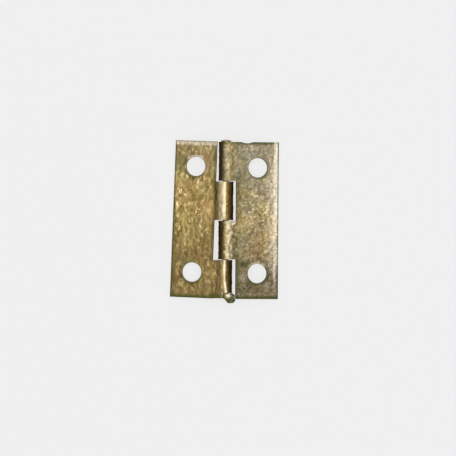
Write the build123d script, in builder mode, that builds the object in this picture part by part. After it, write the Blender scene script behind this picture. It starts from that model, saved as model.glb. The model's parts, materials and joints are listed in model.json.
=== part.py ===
from build123d import *
import os
from math import asin, atan, atan2, cos, degrees, hypot, radians, sin

# Box hinge: two pressed sheet leaves with curled knuckles and one wire pin.
# Millimetres. X runs across the leaves, Y along the pin, Z up. The hinge lies on its knuckles,
# with the leaves sloping down on each side until their outer edges reach the floor.

# Leaves, both cut from the same sheet
sheet = 0.55
leaf_length = 25.0
leaf_reach = 8.43
edge_roll = 0.28

# Pin and knuckles
pin_d = 0.95
running_clearance = 0.05
knuckle_count = 4
knuckle_gap = 0.12
right_joggle = 0.14
left_joggle = 0.22
joggle_end = 0.22
curl_angle = 276.0

# Slits between a knuckle and the other leaf, at mid-length
right_slit = 0.53
left_slit = 0.65

# The left leaf stands slightly out of square with its own knuckles
left_skew = 1.85

# Screw holes, two in each leaf
hole_d = 3.1
hole_reach = 5.03
hole_pitch = 16.85
hole_roll = 0.12

# Nick in the top edge of the right leaf
nick_reach = 3.3
nick_width = 1.9
nick_depth = 0.2

# Lowest knuckle: its curl is cut back from the end of the leaf, and a flat tab runs on
curl_cut_back = 0.95
tab_flat = 0.07
tab_cut_back = 0.1

# Domed head at the top of the pin
head_d = 1.65
head_rise = 0.3
head_rim = 0.12
head_gap = 0.04

# Peened ball at the bottom of the pin, bent aside
bend_radius = 0.9
bend_angle = 57.0
ball_d = 1.45
ball_neck = 0.45

# Derived radii: the pin is tight in the left leaf and runs free in the right leaf
pin_r = pin_d / 2
left_bore_r = pin_r
right_bore_r = pin_r + running_clearance
left_knuckle_r = left_bore_r + sheet
right_knuckle_r = right_bore_r + sheet
axis_height = right_knuckle_r

# Heights of each leaf above the pin axis, measured square to the leaf
left_back = left_knuckle_r - left_joggle
left_front = left_back - sheet
right_back = right_knuckle_r - right_joggle
right_front = right_back - sheet

# Inner edge of each leaf, clear of the other leaf's knuckles
right_root = left_knuckle_r + right_slit
left_root = right_knuckle_r + left_slit

# Slope of each leaf when its lowest front edge touches the floor
skew = radians(left_skew)
right_corner = leaf_reach
left_corner = leaf_reach * cos(skew) + leaf_length / 2 * sin(skew)
right_slope = asin(axis_height / hypot(right_corner, right_front)) + atan2(right_front, right_corner)
left_slope = asin(axis_height / hypot(left_corner, left_front)) + atan2(left_front, left_corner)

# Leaf planes: origin on the pin axis at mid-length, x outwards along the leaf, z square to it
right_plane = Plane(
    origin=(0, 0, axis_height),
    x_dir=(cos(right_slope), 0, -sin(right_slope)),
    z_dir=(sin(right_slope), 0, cos(right_slope)),
)
left_plane = Plane(
    origin=(0, 0, axis_height),
    x_dir=(-cos(left_slope), 0, -sin(left_slope)),
    z_dir=(-sin(left_slope), 0, cos(left_slope)),
)

# Knuckle stations along the pin, from the top of the hinge down
knuckle_pitch = leaf_length / knuckle_count
knuckle_length = knuckle_pitch - knuckle_gap
half_gap = knuckle_gap / 2
half_length = leaf_length / 2
first_top = half_length
second_bottom = half_length - 2 * knuckle_pitch + half_gap
third_top = half_length - 2 * knuckle_pitch - half_gap
fourth_top = half_length - 3 * knuckle_pitch - half_gap
fourth_bottom = -half_length + curl_cut_back
end_knuckle_length = knuckle_pitch - half_gap
fourth_length = fourth_top - fourth_bottom
tab_bottom = -half_length + tab_cut_back
tab_length = fourth_bottom - tab_bottom

# Where the left leaf's knuckle strips start to bend: at the inner edge beside the second knuckle's top
second_top = half_length - knuckle_pitch - half_gap
left_bend = (left_root - second_top * sin(skew)) / cos(skew)

# How far each knuckle strip laps over its leaf before it starts to bend
right_lap = 0.3
left_lap = (left_root + half_length * sin(skew)) / cos(skew) - left_bend + right_lap


def strip_section(bore_r, joggle, bend, lap, flat_end, curl):
    """Section of a knuckle strip: from the leaf up the joggle, flat over the pin, then round it by curl."""
    outer_r = bore_r + sheet
    back = outer_r - joggle
    front = back - sheet
    # two equal bends take the sheet's middle up from where it starts to bend to the joggle's end
    run = bend - joggle_end
    joggle_angle = degrees(2 * atan(joggle / run))
    joggle_radius = run / (2 * sin(radians(joggle_angle)))
    tight_bend = joggle_radius - sheet / 2
    wide_bend = joggle_radius + sheet / 2
    with BuildSketch() as section:
        with BuildLine():
            back_run = Line((bend + lap, back), (bend, back))
            back_dip = JernArc(back_run @ 1, (-1, 0), tight_bend, -joggle_angle)
            back_crest = JernArc(back_dip @ 1, back_dip % 1, wide_bend, joggle_angle)
            outside = Line(back_crest @ 1, (flat_end, outer_r))
            front_run = Line((bend + lap, front), (bend, front))
            front_dip = JernArc(front_run @ 1, (-1, 0), wide_bend, -joggle_angle)
            front_crest = JernArc(front_dip @ 1, front_dip % 1, tight_bend, joggle_angle)
            inside = Line(front_crest @ 1, (flat_end, bore_r))
            if curl:
                outside = JernArc(outside @ 1, (-1, 0), outer_r, curl)
                inside = JernArc(inside @ 1, (-1, 0), bore_r, curl)
            Line(outside @ 1, inside @ 1)
            Line(back_run @ 0, front_run @ 0)
        make_face()
    return section.sketch


def section_plane(leaf_plane, station):
    """Plane square to the pin at a station along it, x along the leaf and y up from it."""
    return Plane(
        origin=(0, station, axis_height),
        x_dir=leaf_plane.x_dir,
        z_dir=leaf_plane.x_dir.cross(leaf_plane.z_dir),
    )


# Right leaf: flat plate with rolled edges and two holes, the first and third knuckles, then the nick
with BuildPart() as right_leaf:
    with BuildSketch(right_plane.offset(right_front)):
        with Locations((right_root, 0)):
            Rectangle(leaf_reach - right_root, leaf_length, align=(Align.MIN, Align.CENTER))
    extrude(amount=sheet)
    right_rim = right_leaf.faces().sort_by(Axis(right_plane.origin, right_plane.z_dir))[-1].edges()
    fillet(right_rim.sort_by(Axis(right_plane.origin, right_plane.x_dir))[1:], edge_roll)
    with BuildSketch(right_plane.offset(right_back)):
        with Locations((hole_reach, hole_pitch / 2), (hole_reach, -hole_pitch / 2)):
            Circle(hole_d / 2)
    extrude(amount=-2 * sheet, mode=Mode.SUBTRACT)
    right_mouths = right_leaf.faces().sort_by(Axis(right_plane.origin, right_plane.z_dir))[-1]
    fillet(right_mouths.edges().filter_by(GeomType.CIRCLE), hole_roll)
    with BuildSketch(section_plane(right_plane, first_top)):
        add(strip_section(right_bore_r, right_joggle, right_root, right_lap, 0, curl_angle))
    extrude(amount=end_knuckle_length)
    with BuildSketch(section_plane(right_plane, third_top)):
        add(strip_section(right_bore_r, right_joggle, right_root, right_lap, 0, curl_angle))
    extrude(amount=knuckle_length)
    with BuildSketch(right_plane.offset(right_back)):
        with BuildLine():
            nick_start = (nick_reach - nick_width / 2, half_length)
            nick_deep = (nick_reach, half_length - nick_depth)
            nick_end = (nick_reach + nick_width / 2, half_length)
            ThreePointArc(nick_start, nick_deep, nick_end)
            Polyline(
                nick_end,
                (nick_end[0], half_length + nick_width),
                (nick_start[0], half_length + nick_width),
                nick_start,
            )
        make_face()
    extrude(amount=-2 * sheet, mode=Mode.SUBTRACT)

# Left leaf: flat plate turned out of square, two holes, then the second and fourth knuckles
with BuildPart() as left_leaf:
    with BuildSketch(left_plane.offset(left_front)):
        with Locations(Rotation(0, 0, -left_skew)):
            with Locations((left_root, 0)):
                Rectangle(leaf_reach - left_root, leaf_length, align=(Align.MIN, Align.CENTER))
    extrude(amount=sheet)
    left_rim = left_leaf.faces().sort_by(Axis(left_plane.origin, left_plane.z_dir))[-1].edges()
    fillet(left_rim.sort_by(Axis(left_plane.origin, left_plane.x_dir))[1:], edge_roll)
    with BuildSketch(left_plane.offset(left_back)):
        with Locations(Rotation(0, 0, -left_skew)):
            with Locations((hole_reach, hole_pitch / 2), (hole_reach, -hole_pitch / 2)):
                Circle(hole_d / 2)
    extrude(amount=-2 * sheet, mode=Mode.SUBTRACT)
    left_mouths = left_leaf.faces().sort_by(Axis(left_plane.origin, left_plane.z_dir))[-1]
    fillet(left_mouths.edges().filter_by(GeomType.CIRCLE), hole_roll)
    with BuildSketch(section_plane(left_plane, second_bottom)):
        add(strip_section(left_bore_r, left_joggle, left_bend, left_lap, 0, curl_angle))
    extrude(amount=knuckle_length)
    with BuildSketch(section_plane(left_plane, fourth_bottom)):
        add(strip_section(left_bore_r, left_joggle, left_bend, left_lap, 0, curl_angle))
    extrude(amount=fourth_length)
    with BuildSketch(section_plane(left_plane, tab_bottom)):
        add(strip_section(left_bore_r, left_joggle, left_bend, left_lap, joggle_end - tab_flat, 0))
    extrude(amount=tab_length)

# Hinge pin: straight shank with a domed head, then the bent end and its ball
pin_plane = Plane(origin=(0, 0, axis_height), x_dir=(1, 0, 0), z_dir=(0, 0, 1))
head_seat = half_length + head_gap
dome_rise = head_rise - head_rim
with BuildPart() as hinge_pin:
    with BuildSketch(pin_plane):
        with BuildLine():
            shank = Polyline(
                (0, head_seat + head_rise),
                (0, fourth_bottom),
                (pin_r, fourth_bottom),
                (pin_r, head_seat),
                (head_d / 2, head_seat),
                (head_d / 2, head_seat + head_rim),
            )
            RadiusArc(shank @ 0, shank @ 1, (head_d * head_d / 4 + dome_rise * dome_rise) / (2 * dome_rise))
        make_face()
    revolve(axis=Axis((0, 0, axis_height), (0, 1, 0)))
    with BuildLine(pin_plane) as neck:
        neck_bend = JernArc((0, fourth_bottom), (0, -1), bend_radius, bend_angle)
        neck_end = Line(neck_bend @ 1, neck_bend @ 1 + (neck_bend % 1) * ball_neck)
    with BuildSketch(Plane(origin=(0, fourth_bottom, axis_height), x_dir=(1, 0, 0), z_dir=(0, -1, 0))):
        Circle(pin_r)
    sweep(path=neck.wires()[0])
    with Locations(neck_end @ 1):
        Sphere(ball_d / 2)

os.makedirs("parts", exist_ok=True)

right_leaf.part.label = "right_leaf"
export_step(right_leaf.part, "parts/right_leaf.step")

left_leaf.part.label = "left_leaf"
export_step(left_leaf.part, "parts/left_leaf.step")

hinge_pin.part.label = "hinge_pin"
export_step(hinge_pin.part, "parts/hinge_pin.step")
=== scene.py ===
import json
from math import asin, atan, ceil, cos, hypot, pi, radians, sin, sqrt
from random import Random
from typing import NamedTuple

import bpy
from bpy.props import FloatProperty, FloatVectorProperty, IntProperty, PointerProperty
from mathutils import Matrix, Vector


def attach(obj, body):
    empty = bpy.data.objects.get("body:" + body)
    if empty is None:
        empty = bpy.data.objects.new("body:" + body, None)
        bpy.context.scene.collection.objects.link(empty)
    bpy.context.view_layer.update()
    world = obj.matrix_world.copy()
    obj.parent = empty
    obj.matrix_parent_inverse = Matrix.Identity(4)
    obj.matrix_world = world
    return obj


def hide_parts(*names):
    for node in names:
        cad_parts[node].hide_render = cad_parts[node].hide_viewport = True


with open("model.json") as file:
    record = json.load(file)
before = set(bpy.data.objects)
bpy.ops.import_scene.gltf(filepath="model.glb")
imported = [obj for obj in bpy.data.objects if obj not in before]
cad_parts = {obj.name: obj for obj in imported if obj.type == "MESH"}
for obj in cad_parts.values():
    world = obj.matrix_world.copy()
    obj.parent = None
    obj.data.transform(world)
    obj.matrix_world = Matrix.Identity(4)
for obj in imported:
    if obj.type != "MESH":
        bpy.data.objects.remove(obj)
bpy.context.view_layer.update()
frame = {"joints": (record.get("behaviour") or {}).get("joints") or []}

bl_info = {
    "name": "Box hinge",
    "version": (1, 0, 0),
    "blender": (4, 5, 0),
    "location": "View3D > Sidebar > Box hinge",
    "description": "Curls the two plated leaves of a small box hinge from flat blanks, with their bent pin",
    "category": "Object",
}

MM = 0.001
NEAR = 1e-5
PIN_AXIS_HEIGHT = frame["joints"][0]["pos_m"][2] / MM
PHOTO_WIDTH = 456
PHOTO_PIXELS_PER_MM = 6.28


def linear(hex_colour):
    """sRGB hex colour as linear red, green and blue."""
    parts = [int(hex_colour[k:k + 2], 16) / 255 for k in (1, 3, 5)]
    return tuple(c / 12.92 if c <= 0.04045 else ((c + 0.055) / 1.055) ** 2.4 for c in parts)


# Sizes and colours that a user can change


def a_length(name, millimetres, description):
    """A length, given in millimetres."""
    return FloatProperty(name=name, description=description, default=millimetres * MM,
                         unit="LENGTH", precision=5)


def an_angle(name, degrees, description):
    """An angle, given in degrees."""
    return FloatProperty(name=name, description=description, default=radians(degrees), subtype="ANGLE")


def a_colour(name, hex_colour, description):
    """A colour, given as sRGB hex."""
    return FloatVectorProperty(name=name, description=description, default=linear(hex_colour),
                               subtype="COLOR", min=0, max=1)


class BoxHingeLeafSizes(bpy.types.PropertyGroup):
    """Sizes of the sheet blanks that the leaves are curled from"""
    sheet: a_length("Sheet", 0.55, "Thickness of the plated sheet")
    length: a_length("Length", 25.0, "Length of a leaf along the pin")
    reach: a_length("Reach", 8.43, "From the pin's axis to a leaf's outer edge")
    edge_roll: a_length("Edge roll", 0.28, "Radius pressed into the outer edges by the shear")
    right_slit: a_length("Right slit", 0.53, "Between the left knuckles and the right leaf")
    left_slit: a_length("Left slit", 0.65, "Between the right knuckles and the left leaf")
    left_skew: an_angle("Left skew", 1.85, "How far the left leaf stands out of square")
    knuckle_gap: a_length("Knuckle gap", 0.12, "Between one knuckle and the next")
    right_joggle: a_length("Right joggle", 0.14, "Step from the right leaf up to its knuckles")
    left_joggle: a_length("Left joggle", 0.22, "Step from the left leaf up to its knuckles")
    joggle_end: a_length("Joggle end", 0.22, "From the pin's axis to the top of that step")
    curl: an_angle("Curl", 276, "Angle that a knuckle wraps round the pin")
    curl_cut_back: a_length("Curl cut back", 0.95, "From the left leaf's end to its lowest curl")
    tab_flat: a_length("Tab flat", 0.07, "Flat run of the tab below that curl")
    tab_cut_back: a_length("Tab cut back", 0.1, "From the left leaf's end to the end of the tab")
    hole: a_length("Hole", 3.1, "Diameter of a screw hole")
    hole_reach: a_length("Hole reach", 5.03, "From the pin's axis to a hole's middle")
    hole_pitch: a_length("Hole pitch", 16.85, "Between the two holes of a leaf")
    hole_roll: a_length("Hole roll", 0.12, "Radius pressed into a hole's mouth by the punch")
    nick_reach: a_length("Nick reach", 3.3, "From the pin's axis to the nick in the right leaf's top edge")
    nick_width: a_length("Nick width", 1.9, "Width of the nick")
    nick_depth: a_length("Nick depth", 0.2, "Depth of the nick")
    relief: a_length("Relief", 0.075, "Depth of the dimples that tumbling left in the plating")
    dimple: a_length("Dimple", 0.55, "Width of those dimples")
    seed: IntProperty(name="Seed", description="Picks one arrangement of the dimples", default=3)


class BoxHingePinSizes(bpy.types.PropertyGroup):
    """Sizes of the wire pin"""
    wire: a_length("Wire", 0.95, "Diameter of the pin")
    clearance: a_length("Clearance", 0.05, "Radial play in the right leaf's knuckles")
    head: a_length("Head", 1.65, "Diameter of the domed head")
    head_rim: a_length("Head rim", 0.12, "Height of the head's straight rim")
    head_rise: a_length("Head rise", 0.3, "Height of the head with its dome")
    head_gap: a_length("Head gap", 0.04, "Play under the head")
    bend_radius: a_length("Bend radius", 0.9, "Radius of the bent end")
    bend: an_angle("Bend", 57, "Angle of the bent end")
    ball: a_length("Ball", 1.67, "Diameter of the peened ball")
    ball_neck: a_length("Ball neck", 0.45, "Straight wire before the ball's middle")
    ball_aside: a_length("Ball aside", 0.16, "How far the ball sits to the inner side of the bent wire")


class BoxHingeColours(bpy.types.PropertyGroup):
    """Colours of the plating, of its wear, of its painted shade and highlights and of the floor"""
    # the deep colours also paint shade in the grain's hollows, and the fleck colours paint glints on its
    # raised points
    left_deep: a_colour("Left deep", "#6f5a2c", "Hollows of the left leaf")
    left_dull: a_colour("Left dull", "#a38a4e", "Duller patches of the left leaf")
    left_gold: a_colour("Left gold", "#c2a46e", "Golden patches of the left leaf")
    left_fleck: a_colour("Left fleck", "#f4dea6", "Bright flecks of the left leaf")
    right_deep: a_colour("Right deep", "#6e6144", "Hollows of the right leaf")
    right_dull: a_colour("Right dull", "#a79666", "Duller patches of the right leaf")
    right_gold: a_colour("Right gold", "#c6b27f", "Golden patches of the right leaf")
    right_fleck: a_colour("Right fleck", "#f8ebc4", "Bright flecks of the right leaf")
    pin_deep: a_colour("Pin deep", "#6f6848", "Hollows of the pin")
    pin_dull: a_colour("Pin dull", "#a39a6c", "Duller patches of the pin")
    pin_gold: a_colour("Pin gold", "#bdb283", "Golden patches of the pin")
    pin_fleck: a_colour("Pin fleck", "#ddd2ac", "Bright flecks of the pin")
    # besides olive tarnish, this colour paints shade along the bottom and left edges, beside the slits and
    # near the top knuckle's lower end
    tarnish_and_shade: a_colour("Tarnish", "#505c2e", "Olive tarnish along the edges")
    # the patina colour also paints the shade on the knuckles' far sides and in the creases at their feet
    patina_and_shade: a_colour("Patina", "#57451f", "Dark patina on the knuckles' flanks and feet")
    stain: a_colour("Stain", "#9c7a4e", "Warm brown stains")
    # besides fresher gold, the gild colour paints the knuckles' slopes lighter and the highlight beside a
    # crest
    gild_and_highlight: a_colour("Gild", "#dfc984", "Fresher gold on the slopes of the knuckles")
    # the crest colour paints the highlight along the knuckles' crests, which are also burnished smoother
    crest_highlight: a_colour("Crest", "#ead9b6", "Burnished crests of the knuckles")
    # besides some rubbed wear, the rub colour paints highlights on edges, knuckles, hole rims and the pin's
    # neck
    rub_and_highlight: a_colour("Rub", "#fbecd2", "Edges rubbed bright")
    floor: a_colour("Floor", "#868686", "Colour of the paper underneath")


# the range that nearly all values of a noise lie in
NOISE_LOW, NOISE_HIGH = 0.3, 0.7


def add(tree, kind, feeds=None, **settings):
    """Adds a node with its settings and links, and gives its first output in use."""
    made = tree.nodes.new(kind)
    for key, value in settings.items():
        setattr(made, key, value)
    for key, value in (feeds or {}).items():
        if isinstance(value, bpy.types.NodeSocket):
            tree.links.new(value, made.inputs[key])
        else:
            made.inputs[key].default_value = value
    return next((o for o in made.outputs if o.enabled), made)


# Flat blanks, in millimetres: s runs out from the pin along the sheet, v along the pin, n through the sheet

RIGHT, LEFT = 1, -1
# distances in from a rolled edge and from a sheared one where lines are ruled
ROLL_STEPS = (0.0, 0.02, 0.06, 0.12, 0.2, 0.28)
EDGE_STEPS = (0.0, 0.02, 0.05)
# radius of a sheared edge
BROKEN_EDGE = 0.05
# half the square kept for a hole's rings, and each ring's share of the way out to it and least distance out
HOLE_BLOCK = 2.05
HOLE_RINGS = (
    (0.75, 0.12), (0.52, 0.12), (0.32, 0.12), (0.14, 0.12),
    (0, 0.12), (0, 0.07), (0, 0.035), (0, 0.012), (0, 0),
)
# widest steps between the lines of the plate and of the strips
PLATE_STEP = 0.13
STRIP_STEP = 0.075
# distances in from an edge over which the dimples start
DIMPLE_EASE = (0.05, 0.45)
# how far in the nick moves the plate's lines, and the length over which an end's roll starts beside a strip
NICK_FADE = 1.6
END_ROLL_FADE = 0.6
# steps between a strip and the slanted root, and how far a strip laps over the plate
LAPS = {RIGHT: 2, LEFT: 6}
LAP = {RIGHT: 0.2, LEFT: 0.6}
# angles round the pin over which a knuckle's swell starts and ends
SWELL_START = (0.35, 1.2)
SWELL_END = (1.9, 2.7)
# kinds of wear; tarnish and patina also paint shade, and gild, rub and crest paint light and highlights
WEAR_AND_LIGHT = ("tarnish_and_shade", "patina_and_shade", "stain", "gild_and_highlight", "rub_and_highlight", "crest_highlight")


class Strip(NamedTuple):
    """A knuckle strip: its stretch along the pin, and where it ends across."""
    low: float
    high: float
    end: float


def fill(marks, gap):
    """Sorted marks with lines added until none lie further apart than gap."""
    kept = sorted(set(round(m, 6) for m in marks))
    lines = []
    for a, b in zip(kept, kept[1:]):
        steps = max(1, ceil((b - a) / gap - 1e-6))
        lines += [a + (b - a) * k / steps for k in range(steps)]
    return lines + [kept[-1]]


def smooth(low, high, value):
    """Eases from 0 at low to 1 at high."""
    t = min(1.0, max(0.0, (value - low) / (high - low)))
    return t * t * (3 - 2 * t)


def band(low, high, ease, value):
    """1 between low and high, easing to 0 outside them."""
    return smooth(low - ease, low + ease, value) * (1 - smooth(high - ease, high + ease, value))


def rolled(distance, radius):
    """How far a rolled edge has dropped at a distance in from it."""
    if distance >= radius:
        return 0.0
    return radius - sqrt(max(0.0, radius * radius - (radius - distance) ** 2))


class Blank:
    """Points, faces and point values of one flat blank."""

    def __init__(self, sheet):
        self.sheet = sheet
        self.points = []
        self.faces = []
        self.strip = []
        self.open = []
        # wear of each point, with the shade and highlights painted there
        self.wear = {key: [] for key in WEAR_AND_LIGHT}

    def put(self, s, v, drop, strip, gap):
        """Adds a point of the back face, dropped by the roll of an edge that lies gap away."""
        self.points.append((s, v, self.sheet / 2 - drop))
        self.strip.append(strip)
        self.open.append(smooth(*DIMPLE_EASE, gap))
        return len(self.points) - 1

    def close(self):
        """Adds the front face and the sheared walls between the two faces."""
        back = len(self.points)
        seen = set()
        for face in self.faces:
            seen.update(zip(face, face[1:] + face[:1]))
        rim = sorted((a, b) for a, b in seen if (b, a) not in seen)
        for k in range(back):
            s, v, _ = self.points[k]
            self.points.append((s, v, -self.sheet / 2))
            self.strip.append(self.strip[k])
            self.open.append(-self.open[k])
        self.faces += [tuple(back + k for k in reversed(face)) for face in list(self.faces)]
        middle = {}
        for a, b in rim:
            for k in (a, b):
                if k not in middle:
                    s, v, n = self.points[k]
                    middle[k] = len(self.points)
                    self.points.append((s, v, (n - self.sheet / 2) / 2))
                    self.strip.append(self.strip[k])
                    self.open.append(0.0)
            self.faces.append((a, middle[a], middle[b], b))
            self.faces.append((middle[a], back + a, back + b, middle[b]))


class LeafBlank(Blank):
    """Blank of a leaf: its plate with holes and rolled edges, and its straight knuckle strips.

    The plate has its own directions, p out from the pin and q along the edge, turned by the skew.
    """

    def __init__(self, leaf):
        super().__init__(leaf["sheet"])
        self.leaf = leaf
        self.half = leaf["length"] / 2
        self.lean, self.square = sin(leaf["skew"]), cos(leaf["skew"])
        self.holes = [(leaf["hole_reach"], end * leaf["hole_pitch"] / 2) for end in (-1, 1)]
        self.grid = {}
        self.rule_lines()
        self.lay_plate()
        self.lay_strips()
        self.join_lines()
        self.ring_holes()
        self.close()

    def place(self, p, q):
        """Place on the blank of a place on the plate."""
        return p * self.square + q * self.lean, -p * self.lean + q * self.square

    def root_v(self, q):
        """Where row q of the plate meets the root, along the pin."""
        return q * self.square - self.leaf["root"] * self.lean

    def spans(self, s):
        """Stretches along the pin where strips reach in as far as s, with touching ones joined."""
        joined = []
        for strip in self.leaf["strips"]:
            if strip.end > s + NEAR:
                continue
            if joined and abs(joined[-1][1] - strip.low) < NEAR:
                joined[-1] = (joined[-1][0], strip.high)
            else:
                joined.append((strip.low, strip.high))
        return joined

    def strip_gap(self, s, v):
        """How far v lies inside the strips that reach in as far as s, or below 0 where there are none."""
        return max((min(v - low, high - v) for low, high in self.spans(s)), default=-1.0)

    def nick_dip(self, p):
        """How far the top edge is dented at p."""
        reach, width, depth = self.leaf["nick"]
        across = abs(p - reach)
        if across >= width / 2:
            return 0.0
        radius = (width * width / 4 + depth * depth) / (2 * depth)
        return depth - radius + sqrt(radius * radius - across * across)

    def in_hole_block(self, p, q, slack):
        """Whether a place on the plate lies in the square kept for a hole's rings."""
        reach = HOLE_BLOCK + slack
        return any(abs(p - hp) < reach and abs(q - hq) < reach for hp, hq in self.holes)

    def rule_lines(self):
        """Rules the rows and columns of the plate, the lines across the strips and the laps between."""
        leaf, half = self.leaf, self.half
        root, reach = leaf["root"], leaf["reach"]
        row_marks = [end * (half - d) for d in ROLL_STEPS for end in (-1, 1)]
        row_marks += [q + end * HOLE_BLOCK for _, q in self.holes for end in (-1, 1)]
        last_v = self.root_v(half)
        for strip in leaf["strips"]:
            stations = [strip.low + d for d in EDGE_STEPS] + [strip.high]
            if strip.high < last_v - NEAR:
                stations += [strip.high - d for d in EDGE_STEPS]
            row_marks += [(v + root * self.lean) / self.square for v in stations]
        self.rows = fill(row_marks, PLATE_STEP)
        column_marks = [root + d for d in EDGE_STEPS] + [reach - d for d in ROLL_STEPS]
        column_marks += [leaf["hole_reach"] - HOLE_BLOCK, leaf["hole_reach"] + HOLE_BLOCK]
        self.columns = fill(column_marks, PLATE_STEP)
        self.first_line = leaf["bend"] - EDGE_STEPS[1]
        ends = {strip.end for strip in leaf["strips"]}
        self.lines = fill([end + d for end in ends for d in EDGE_STEPS] + [self.first_line], STRIP_STEP)
        self.laps = [k / leaf["laps"] for k in range(1, leaf["laps"])]
        self.offset = len(self.lines) + len(self.laps)

    def lay_plate(self):
        """Lays the plate's points, with its edges rolled and its top edge nicked."""
        leaf, half, root, roll = self.leaf, self.half, self.leaf["root"], self.leaf["roll"]
        ends_in_strip = [self.strip_gap(root, self.root_v(end * half)) > -NEAR for end in (-1, 1)]
        for j, q in enumerate(self.rows):
            for i, p in enumerate(self.columns):
                if self.in_hole_block(p, q, -NEAR):
                    continue
                dip = self.nick_dip(p) if leaf["nick"] else 0.0
                ends = [half + q, half - q]
                radii = [roll, roll - dip]
                for e in (0, 1):
                    if ends_in_strip[e]:
                        ease = smooth(root + leaf["lap"], root + leaf["lap"] + END_ROLL_FADE, p)
                        radii[e] = BROKEN_EDGE + (radii[e] - BROKEN_EDGE) * ease
                drops = [rolled(leaf["reach"] - p, roll)] + [rolled(d, r) for d, r in zip(ends, radii)]
                gaps = [leaf["reach"] - p] + ends
                if self.strip_gap(root, self.root_v(q)) < NEAR:
                    drops.append(rolled(p - root, BROKEN_EDGE))
                    gaps.append(p - root)
                s, v = self.place(p, q - dip * (1 - smooth(0.0, NICK_FADE, ends[1])))
                self.grid[self.offset + i, j] = self.put(s, v, max(drops), 0.0, min(gaps))

    def lay_strips(self):
        """Lays the straight knuckle strips, and the laps between them and the slanted root."""
        leaf, root = self.leaf, self.leaf["root"]
        last_v = self.root_v(self.half)
        for strip in leaf["strips"]:
            for j, q in enumerate(self.rows):
                v_root = self.root_v(q)
                if not strip.low - NEAR <= v_root <= strip.high + NEAR:
                    continue
                v = v_root
                if leaf["tab_v"] and abs(strip.high - last_v) < NEAR:
                    whole, kept = strip.high - strip.low, leaf["tab_v"] - strip.low
                    v = strip.low + (v_root - strip.low) * kept / whole
                for i, s in enumerate(self.lines):
                    if s < strip.end - NEAR or (i, j) in self.grid:
                        continue
                    gap = min(self.strip_gap(s, v_root), s - strip.end)
                    self.grid[i, j] = self.put(s, v, rolled(gap, BROKEN_EDGE), 1.0, gap)
                s_root = root * self.square + q * self.lean
                for k, share in enumerate(self.laps):
                    spot = (len(self.lines) + k, j)
                    if spot in self.grid:
                        continue
                    s = self.first_line + (s_root - self.first_line) * share
                    gap = self.strip_gap(s, v_root)
                    drop = rolled(gap, BROKEN_EDGE)
                    self.grid[spot] = self.put(s, v + (v_root - v) * share, drop, 1.0, gap)

    def join_lines(self):
        """Joins neighbouring points with quads, leaving out the hole blocks and the slits."""
        for i, j in sorted(self.grid):
            cell = [(i, j), (i + 1, j), (i + 1, j + 1), (i, j + 1)]
            if not all(c in self.grid for c in cell):
                continue
            middle_q = (self.rows[j] + self.rows[j + 1]) / 2
            if i >= self.offset:
                middle_p = (self.columns[i - self.offset] + self.columns[i - self.offset + 1]) / 2
                if self.in_hole_block(middle_p, middle_q, 0.0):
                    continue
            elif i + 1 == self.offset:
                if self.strip_gap(self.leaf["root"], self.root_v(middle_q)) < 0:
                    continue
            self.faces.append(tuple(self.grid[c] for c in cell))

    def ring_holes(self):
        """Fills each hole block with rings, from its square edge in to the rolled mouth of the hole."""
        radius, roll = self.leaf["hole"] / 2, self.leaf["hole_roll"]
        for hp, hq in self.holes:
            near = [i for i, p in enumerate(self.columns) if abs(p - hp) < HOLE_BLOCK + NEAR]
            beside = [j for j, q in enumerate(self.rows) if abs(q - hq) < HOLE_BLOCK + NEAR]
            loop = [(i, beside[0]) for i in near[:-1]]
            loop += [(near[-1], j) for j in beside[:-1]]
            loop += [(i, beside[-1]) for i in near[:0:-1]]
            loop += [(near[0], j) for j in beside[:0:-1]]
            outer = [self.grid[self.offset + i, j] for i, j in loop]
            for share, least in HOLE_RINGS:
                ring = []
                for i, j in loop:
                    dp, dq = self.columns[i] - hp, self.rows[j] - hq
                    far = hypot(dp, dq)
                    gap = least + (far - radius - least) * share
                    stretch = (radius + gap) / far
                    s, v = self.place(hp + dp * stretch, hq + dq * stretch)
                    ring.append(self.put(s, v, rolled(gap, roll), 0.0, gap))
                for k in range(len(ring)):
                    self.faces.append((outer[k - 1], outer[k], ring[k], ring[k - 1]))
                outer = ring

    def swell_knuckles(self):
        """Moves the strips out on the far side of the pin, where the curling left them out of round."""
        for k, (s, v, n) in enumerate(self.points):
            turn = (self.leaf["curl_start"] - s) / self.leaf["curl_r"]
            share = self.strip[k] * smooth(*SWELL_START, turn) * (1 - smooth(*SWELL_END, turn))
            swell = sum(made.swell for made in self.leaf["knuckles"] if made.low <= v <= made.high)
            self.points[k] = (s, v, n + share * swell)


# Wear, painted shade and painted highlights, from 0 to 1 at each point of a blank


class Knuckle(NamedTuple):
    """Swell, painted highlights and painted shade of one knuckle, from low to high along the pin and across
    from the pin's axis.
    """
    low: float
    high: float
    swell: float           # how far its far side stands out of round
    slope: float           # how far its slope is painted lighter and golden, as light
    flank: float           # from where the far side is painted quite dark, as shade
    shine: float = 0.0     # how strong the painted highlight on its crest is
    start: float = 0.0     # from where to where across
    end: float = 0.0
    beside: float = 0.0    # how strongly the slope beside that highlight is painted as a highlight too
    foot: float = 0.0      # how dark its foot is painted, as patina and shade in the crease
    wander: float = 0.0    # how far the painted highlight moves round the far side at the high end
    fade: float = 0.0      # how far the painted highlight is lost at that end


class Mark(NamedTuple):
    """A soft oval mark of one kind of wear, painted shade or painted highlight: its middle, its half sizes
    and its strength.
    """
    wear: str
    s: float
    v: float
    across: float
    along: float
    strength: float


class EdgeWear(NamedTuple):
    """Wear, painted shade and painted highlights along one edge of a leaf: its strength, and from where to
    where in from that edge.
    """
    wear: str
    edge: str
    strength: float
    near: float
    far: float
    ease: float


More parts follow.
